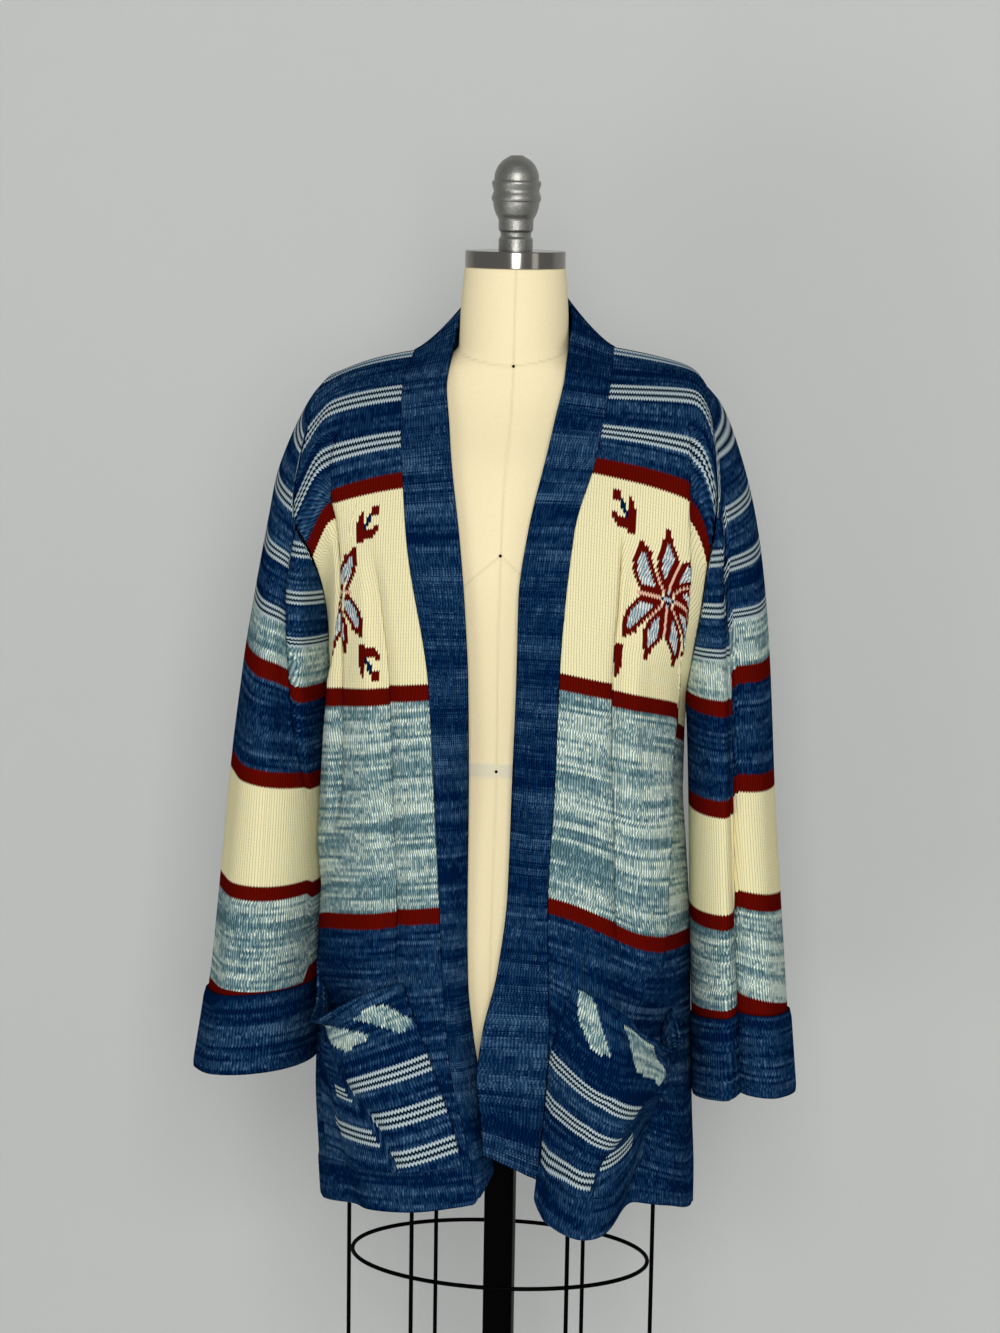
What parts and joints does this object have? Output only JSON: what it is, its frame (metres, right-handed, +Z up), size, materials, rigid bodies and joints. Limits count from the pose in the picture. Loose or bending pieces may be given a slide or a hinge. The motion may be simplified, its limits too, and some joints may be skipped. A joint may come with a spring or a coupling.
{
  "type": "fair isle cardigan on a limbless dress form with a stand",
  "caption": "Long open-front knitted cardigan with a band, wide sleeves, cuffs and patch pockets, worn by a limbless dress form with a skirt cage, on a pole with a round foot.",
  "frame": {"origin": "centre of the stand's foot on the floor", "axes": "+Z up along the pole, -Y towards the garment's open front, +X towards the wearer's left"},
  "size_m": [0.5774, 0.38, 1.6076],
  "materials": {
    "knit": "stocking-stitch knit, cream, blue marl, light marl and rust",
    "blue_knit": "ribbed and plain knit, blue marl",
    "canvas": "tight woven cover",
    "steel": "spun and brushed",
    "silver": "cast and worn smooth",
    "black": "satin black"
  },
  "bodies": {
    "root": {"front_right": "knit", "front_left": "knit", "back": "knit", "sleeve_right": "knit", "sleeve_left": "knit", "front_band": "blue_knit", "cuff_right": "blue_knit", "cuff_left": "blue_knit", "pocket_right": "blue_knit", "pocket_left": "blue_knit", "form_torso": "canvas", "neck_cap": "steel", "finial": "silver", "pole": "black", "stand_foot": "black", "cage_ring_upper": "black", "cage_ring_lower": "black", "cage_wire_1": "black", "cage_wire_2": "black", "cage_wire_3": "black", "cage_wire_4": "black", "cage_wire_5": "black", "cage_wire_6": "black"}
  },
  "joints": []
}
